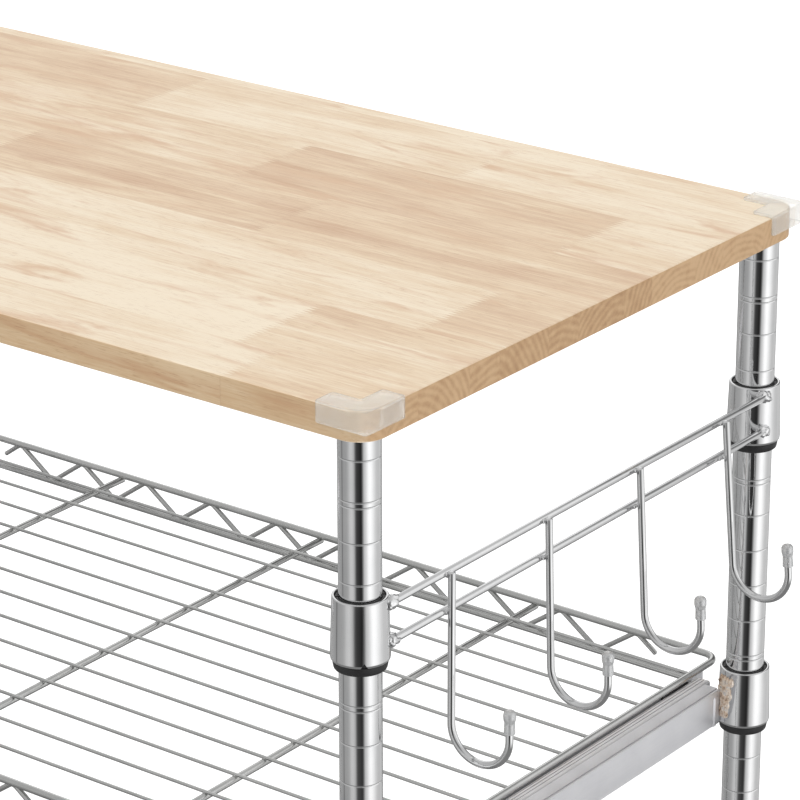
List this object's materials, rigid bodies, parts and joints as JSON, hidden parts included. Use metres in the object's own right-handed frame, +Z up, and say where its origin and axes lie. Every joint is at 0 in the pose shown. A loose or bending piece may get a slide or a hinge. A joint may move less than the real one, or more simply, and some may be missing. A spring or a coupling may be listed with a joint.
{
  "type": "kitchen island cart",
  "caption": "Rolling kitchen island cart: solid wood top on chrome posts, side hook rail, pull-out wire shelf on ball-bearing slides, fixed wire shelf and swivel casters.",
  "frame": {"origin": "on the floor, at the middle of the cart's bounding box, which lies 3.7 mm to the -X side of the middle of the four posts", "axes": "+Z up; -Y is the front, where the shelf pulls out; +X is the right side, which carries the hook rail"},
  "size_m": [0.8796, 0.4618, 0.9164],
  "materials": {
    "rubberwood": "satin oiled strips",
    "chrome": "bright chrome plate",
    "satin_steel": "satin plated sheet",
    "slide_steel": "zinc plated sheet",
    "zinc_steel": "bright zinc plate",
    "shelf_wire": "nickel-chrome plated wire",
    "clear_plastic": "clear frosted",
    "black_plastic": "moulded",
    "tyre_rubber": "matt"
  },
  "bodies": {
    "frame": {"wood_top": "rubberwood", "corner_guard_front_right": "clear_plastic", "post_front_right": "chrome", "bracket_sleeve_front_right": "black_plastic", "bottom_sleeve_front_right": "black_plastic", "caster_stem_front_right": "zinc_steel", "corner_guard_back_right": "clear_plastic", "post_back_right": "chrome", "bracket_sleeve_back_right": "black_plastic", "bottom_sleeve_back_right": "black_plastic", "caster_stem_back_right": "zinc_steel", "corner_guard_back_left": "clear_plastic", "post_back_left": "chrome", "bracket_sleeve_back_left": "black_plastic", "bottom_sleeve_back_left": "black_plastic", "caster_stem_back_left": "zinc_steel", "corner_guard_front_left": "clear_plastic", "post_front_left": "chrome", "bracket_sleeve_front_left": "black_plastic", "bottom_sleeve_front_left": "black_plastic", "caster_stem_front_left": "zinc_steel", "rail_collar_front": "chrome", "rail_sleeve_front": "black_plastic", "rail_collar_back": "chrome", "rail_sleeve_back": "black_plastic", "rail_upper_rod": "chrome", "rail_lower_rod": "chrome", "rail_hook_1": "chrome", "hook_tip_1": "clear_plastic", "rail_hook_2": "chrome", "hook_tip_2": "clear_plastic", "rail_hook_3": "chrome", "hook_tip_3": "clear_plastic", "rail_hook_4": "chrome", "hook_tip_4": "clear_plastic", "slide_bracket_right": "satin_steel", "slide_outer_right": "slide_steel", "slide_bracket_left": "satin_steel", "slide_outer_left": "slide_steel", "bottom_shelf": "shelf_wire"},
    "caster_front_right": {"caster_fork_front_right": "zinc_steel", "caster_axle_front_right": "zinc_steel"},
    "wheel_front_right": {"caster_wheel_front_right": "tyre_rubber"},
    "caster_back_right": {"caster_fork_back_right": "zinc_steel", "caster_axle_back_right": "zinc_steel"},
    "wheel_back_right": {"caster_wheel_back_right": "tyre_rubber"},
    "caster_back_left": {"caster_fork_back_left": "zinc_steel", "caster_axle_back_left": "zinc_steel"},
    "wheel_back_left": {"caster_wheel_back_left": "tyre_rubber"},
    "caster_front_left": {"caster_fork_front_left": "zinc_steel", "caster_axle_front_left": "zinc_steel"},
    "wheel_front_left": {"caster_wheel_front_left": "tyre_rubber"},
    "slide_middle_right_member": {"slide_middle_right": "slide_steel"},
    "pullout": {"slide_inner_right": "slide_steel", "slide_inner_left": "slide_steel", "pullout_shelf": "shelf_wire"},
    "slide_middle_left_member": {"slide_middle_left": "slide_steel"},
    "pedal_front_right": {"brake_pedal_front_right": "black_plastic"},
    "pedal_front_left": {"brake_pedal_front_left": "black_plastic"}
  },
  "joints": [
    {"name": "shelf_slide", "type": "slide", "parent": "frame", "child": "pullout", "axis": [0, -1, 0], "range_m": [0, 0.3]},
    {"name": "slide_middle_right_travel", "type": "slide", "parent": "frame", "child": "slide_middle_right_member", "axis": [0, -1, 0], "range_m": [0, 0.15]},
    {"name": "slide_middle_left_travel", "type": "slide", "parent": "frame", "child": "slide_middle_left_member", "axis": [0, -1, 0], "range_m": [0, 0.15]},
    {"name": "swivel_front_right", "type": "hinge", "parent": "frame", "child": "caster_front_right", "pos_m": [0.36616, -0.2105, 0.09], "axis": [0, 0, 1], "continuous": true},
    {"name": "spin_front_right", "type": "hinge", "parent": "caster_front_right", "child": "wheel_front_right", "pos_m": [0.34116, -0.2105, 0.03704], "axis": [0, 1, 0], "continuous": true},
    {"name": "swivel_back_right", "type": "hinge", "parent": "frame", "child": "caster_back_right", "pos_m": [0.36616, 0.2105, 0.09], "axis": [0, 0, 1], "continuous": true},
    {"name": "spin_back_right", "type": "hinge", "parent": "caster_back_right", "child": "wheel_back_right", "pos_m": [0.34116, 0.2105, 0.03704], "axis": [0, 1, 0], "continuous": true},
    {"name": "swivel_back_left", "type": "hinge", "parent": "frame", "child": "caster_back_left", "pos_m": [-0.35884, 0.2105, 0.09], "axis": [0, 0, 1], "continuous": true},
    {"name": "spin_back_left", "type": "hinge", "parent": "caster_back_left", "child": "wheel_back_left", "pos_m": [-0.38384, 0.2105, 0.03704], "axis": [0, 1, 0], "continuous": true},
    {"name": "swivel_front_left", "type": "hinge", "parent": "frame", "child": "caster_front_left", "pos_m": [-0.35884, -0.2105, 0.09], "axis": [0, 0, 1], "continuous": true},
    {"name": "spin_front_left", "type": "hinge", "parent": "caster_front_left", "child": "wheel_front_left", "pos_m": [-0.38384, -0.2105, 0.03704], "axis": [0, 1, 0], "continuous": true},
    {"name": "brake_front_right", "type": "hinge", "parent": "caster_front_right", "child": "pedal_front_right", "pos_m": [0.32716, -0.2105, 0.082], "axis": [0, -1, 0], "range_deg": [0, 14]},
    {"name": "brake_front_left", "type": "hinge", "parent": "caster_front_left", "child": "pedal_front_left", "pos_m": [-0.39784, -0.2105, 0.082], "axis": [0, -1, 0], "range_deg": [0, 14]}
  ],
  "couplings": [
    {"joint": "slide_middle_right_travel", "follows": "shelf_slide", "ratio": 0.5},
    {"joint": "slide_middle_left_travel", "follows": "shelf_slide", "ratio": 0.5}
  ]
}
